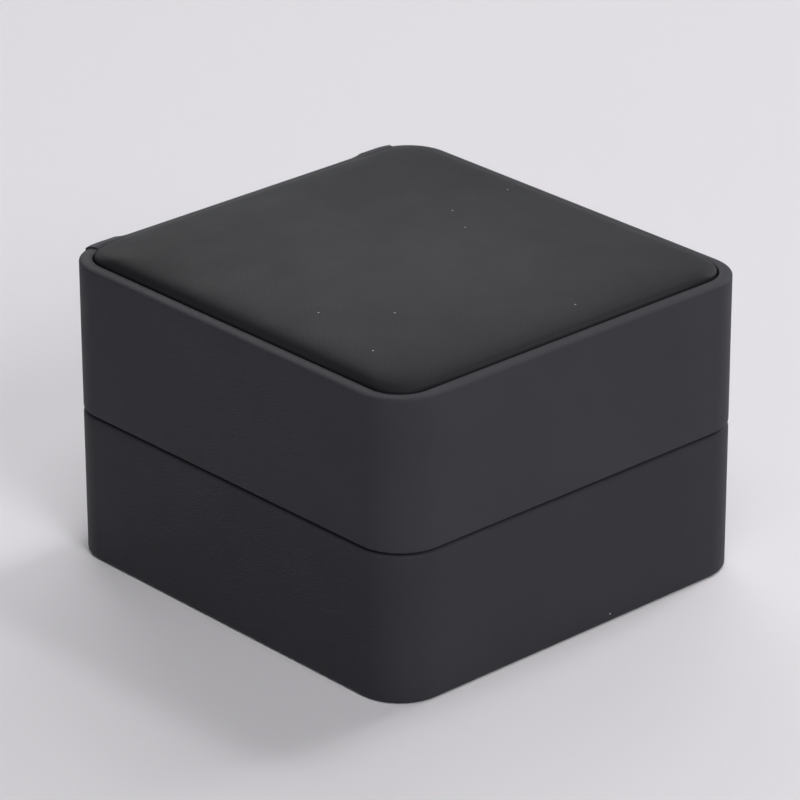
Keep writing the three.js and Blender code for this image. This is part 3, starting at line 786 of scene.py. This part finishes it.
def satin():
    """Woven polyester satin: black with a soft silky streak and fine threads across it."""
    material, tree = new_material("satin_black")
    place = add_node(tree, "ShaderNodeTexCoord", output="Object")
    thread_spacing = 0.25 * MM
    threads = add_node(
        tree, "ShaderNodeTexWave",
        {"Vector": place, "Scale": 1 / thread_spacing / WAVES_PER_UNIT, "Distortion": 1.0},
        output="Fac", wave_type="BANDS", bands_direction="X",
    )
    relief = add_node(tree, "ShaderNodeBump", {"Height": threads, "Distance": 0.02 * MM, "Strength": 0.6})
    streak = add_node(tree, "ShaderNodeTexNoise", {"Vector": place, "Scale": 1 / (4 * MM), "Detail": 2})
    gloss = add_node(tree, "ShaderNodeMapRange", {"Value": streak, "To Min": 0.34, "To Max": 0.46})
    colour = add_node(
        tree, "ShaderNodeMix", {0: streak, MIX_A: linear("#151518"), MIX_B: linear("#202024")},
        output=MIX_RESULT, data_type="RGBA",
    )
    shader = add_node(tree, "ShaderNodeBsdfPrincipled", {
        "Base Color": colour, "Roughness": gloss, "IOR": 1.5, "Normal": relief,
        "Sheen Weight": 0.2, "Sheen Roughness": 0.3,
    })
    add_node(tree, "ShaderNodeOutputMaterial", {"Surface": shader})
    return material


def polystyrene():
    """Injection-moulded black polystyrene with a spark-eroded mould texture: dull, with a fine sparkle."""
    material, tree = new_material("polystyrene_black")
    place = add_node(tree, "ShaderNodeTexCoord", output="Object")
    erosion = add_node(
        tree, "ShaderNodeTexNoise", {"Vector": place, "Scale": 1 / (0.3 * MM), "Detail": 3, "Roughness": 0.6}
    )
    colour = add_node(
        tree, "ShaderNodeMix", {0: erosion, MIX_A: linear("#19191B"), MIX_B: linear("#232325")},
        output=MIX_RESULT, data_type="RGBA",
    )
    gloss = add_node(tree, "ShaderNodeMapRange", {"Value": erosion, "To Min": 0.42, "To Max": 0.55})
    relief = add_node(tree, "ShaderNodeBump", {"Height": erosion, "Distance": 0.015 * MM, "Strength": 0.5})
    shader = add_node(tree, "ShaderNodeBsdfPrincipled", {
        "Base Color": colour, "Roughness": gloss, "IOR": 1.59, "Normal": relief,
    })
    add_node(tree, "ShaderNodeOutputMaterial", {"Surface": shader})
    return material


def grey_board():
    """Grey recycled board, pressed from pulp and die-cut: a dry surface with fibres and darker flecks."""
    material, tree = new_material("board_grey")
    place = add_node(tree, "ShaderNodeTexCoord", output="Object")
    fibres = add_node(
        tree, "ShaderNodeTexNoise", {"Vector": place, "Scale": 1 / (0.7 * MM), "Detail": 5, "Roughness": 0.7}
    )
    flecks = add_node(tree, "ShaderNodeMapRange", {"Value": fibres, "From Min": 0.35, "From Max": 0.65})
    colour = add_node(
        tree, "ShaderNodeMix", {0: flecks, MIX_A: linear("#77736A"), MIX_B: linear("#97938A")},
        output=MIX_RESULT, data_type="RGBA",
    )
    relief = add_node(tree, "ShaderNodeBump", {"Height": fibres, "Distance": 0.04 * MM, "Strength": 0.6})
    shader = add_node(tree, "ShaderNodeBsdfPrincipled", {
        "Base Color": colour, "Roughness": 0.92, "IOR": 1.5, "Normal": relief,
    })
    add_node(tree, "ShaderNodeOutputMaterial", {"Surface": shader})
    return material


def flocked_paper():
    """Paper flocked with short black rayon fibres: a dead matt, faintly speckled underside."""
    material, tree = new_material("flocked_paper_black")
    place = add_node(tree, "ShaderNodeTexCoord", output="Object")
    flock = add_node(
        tree, "ShaderNodeTexNoise",
        {"Vector": place, "Scale": 1 / (0.25 * MM), "Detail": 4, "Roughness": 0.75},
    )
    flecks = add_node(tree, "ShaderNodeMapRange", {"Value": flock, "From Min": 0.3, "From Max": 0.7})
    colour = add_node(
        tree, "ShaderNodeMix", {0: flecks, MIX_A: linear("#101011"), MIX_B: linear("#242426")},
        output=MIX_RESULT, data_type="RGBA",
    )
    relief = add_node(tree, "ShaderNodeBump", {"Height": flock, "Distance": 0.08 * MM, "Strength": 0.8})
    shader = add_node(tree, "ShaderNodeBsdfPrincipled", {
        "Base Color": colour, "Roughness": 1.0, "IOR": 1.45, "Normal": relief,
        "Sheen Weight": 0.2, "Sheen Roughness": 0.5,
    })
    add_node(tree, "ShaderNodeOutputMaterial", {"Surface": shader})
    return material


def plated_steel():
    """Cold-rolled steel strip, nickel plated: a warm grey metal with faint rolling lines."""
    material, tree = new_material("steel_nickel_plated")
    place = add_node(tree, "ShaderNodeTexCoord", output="Object")
    stretched = add_node(tree, "ShaderNodeMapping", {"Vector": place, "Scale": (1, 12, 12)})
    rolling = add_node(tree, "ShaderNodeTexNoise", {"Vector": stretched, "Scale": 1 / (4 * MM), "Detail": 3})
    gloss = add_node(tree, "ShaderNodeMapRange", {"Value": rolling, "To Min": 0.22, "To Max": 0.36})
    relief = add_node(tree, "ShaderNodeBump", {"Height": rolling, "Distance": 0.01 * MM, "Strength": 0.3})
    shader = add_node(tree, "ShaderNodeBsdfPrincipled", {
        "Base Color": linear("#C4C0B6"), "Metallic": 1.0, "Roughness": gloss, "Normal": relief,
    })
    add_node(tree, "ShaderNodeOutputMaterial", {"Surface": shader})
    return material


def painted(piece, material):
    piece.data.materials.clear()
    piece.data.materials.append(material)


# --- stage --------------------------------------------------------------------------------------


def make_floor():
    material, tree = new_material("floor_painted_board")
    place = add_node(tree, "ShaderNodeTexCoord", output="Object")
    clouds = add_node(tree, "ShaderNodeTexNoise", {"Vector": place, "Scale": 3.0})
    tone = add_node(
        tree, "ShaderNodeMix", {0: clouds, MIX_A: linear("#E0DDE1"), MIX_B: linear("#E4E1E5")},
        output=MIX_RESULT, data_type="RGBA",
    )
    shader = add_node(tree, "ShaderNodeBsdfPrincipled", {"Base Color": tone, "Roughness": 0.7})
    add_node(tree, "ShaderNodeOutputMaterial", {"Surface": shader})
    build = bmesh.new()
    bmesh.ops.create_grid(build, x_segments=1, y_segments=1, size=FLOOR_HALF)
    floor = finish_mesh("floor", build)
    floor.data.materials.append(material)


def make_room():
    """A white room that glows along the horizon and is dark overhead, where the lights hang."""
    world = bpy.data.worlds.new("room")
    world.use_nodes = True
    tree = world.node_tree
    tree.nodes.clear()
    direction = add_node(tree, "ShaderNodeTexCoord", output="Generated")
    height = add_node(tree, "ShaderNodeSeparateXYZ", {"Vector": direction}, output="Z")
    glow = add_node(
        tree, "ShaderNodeMapRange",
        {"Value": height, "From Max": ROOM_GLOW_TOP, "To Min": ROOM_GLOW, "To Max": 0.0},
    )
    light = add_node(tree, "ShaderNodeBackground", {"Color": linear("#F6FAFF"), "Strength": glow})
    add_node(tree, "ShaderNodeOutputWorld", {"Surface": light})
    bpy.context.scene.world = world


def make_lights():
    aim = Vector((0, 0, RIM_TOP / 2))
    for name, (azimuth, elevation, distance, size, power) in STUDIO.items():
        turn, tilt = math.radians(azimuth), math.radians(elevation)
        across = distance * math.cos(tilt)
        data = bpy.data.lights.new(name, "AREA")
        data.shape = "DISK"
        data.size = size
        data.energy = power
        light = bpy.data.objects.new(name, data)
        light.location = (across * math.cos(turn), across * math.sin(turn), distance * math.sin(tilt))
        light.rotation_euler = (aim - light.location).to_track_quat("-Z", "Y").to_euler()
        bpy.context.scene.collection.objects.link(light)


# --- assembly -----------------------------------------------------------------------------------

clear_startup_objects()
bpy.context.scene.view_settings.view_transform = "Standard"
make_camera()
make_floor()
make_room()
make_lights()

# The base's copy of the leather is painted darker than the lid's: painted shade on the base walls, which are
# the same leather
shaded_base_leather = leatherette(
    "leatherette_charcoal_base_shaded", "UV", "#303034", "#36363B", rib_angle=59, rib_shade=0.04, lint=0.04
)
lid_leather = leatherette(
    "leatherette_charcoal_lid", "UV", "#333337", "#3A3A3F", rib_angle=59, rib_shade=0.04, lint=0.04
)
# The panel's copy carries a painted sheen: its colour is painted darker towards the panel's edges
panel_leather = leatherette(
    "leatherette_charcoal_panel", "Object", "#2E2E31", "#333337", rib_angle=42.4, rib_shade=0.06, lint=0.2,
    painted_sheen=0.6,
)
for wrap, leather in zip(make_wraps() + [make_rear_cover()], (shaded_base_leather, lid_leather, lid_leather)):
    painted(wrap, leather)
painted(make_top_panel(), panel_leather)

pile = velvet()
painted(make_ring_pad(), pile)
painted(make_liner("base_liner", "base", True), pile)
painted(make_liner("lid_liner", "lid", False), pile)
painted(make_lid_pad(), satin())
painted(make_bottom_sheet(), flocked_paper())

moulding, board, metal = polystyrene(), grey_board(), plated_steel()
for name in ("base_shell", "lid_shell"):
    painted(frame["nodes"][name], moulding)
for name in ("ring_pad_board", "lid_top_board", "lid_pad_board"):
    painted(frame["nodes"][name], board)
for name, cad_node in frame["nodes"].items():
    if name.startswith("hinge_"):
        painted(cad_node, metal)
        bevelled(cad_node, METAL_EDGE)
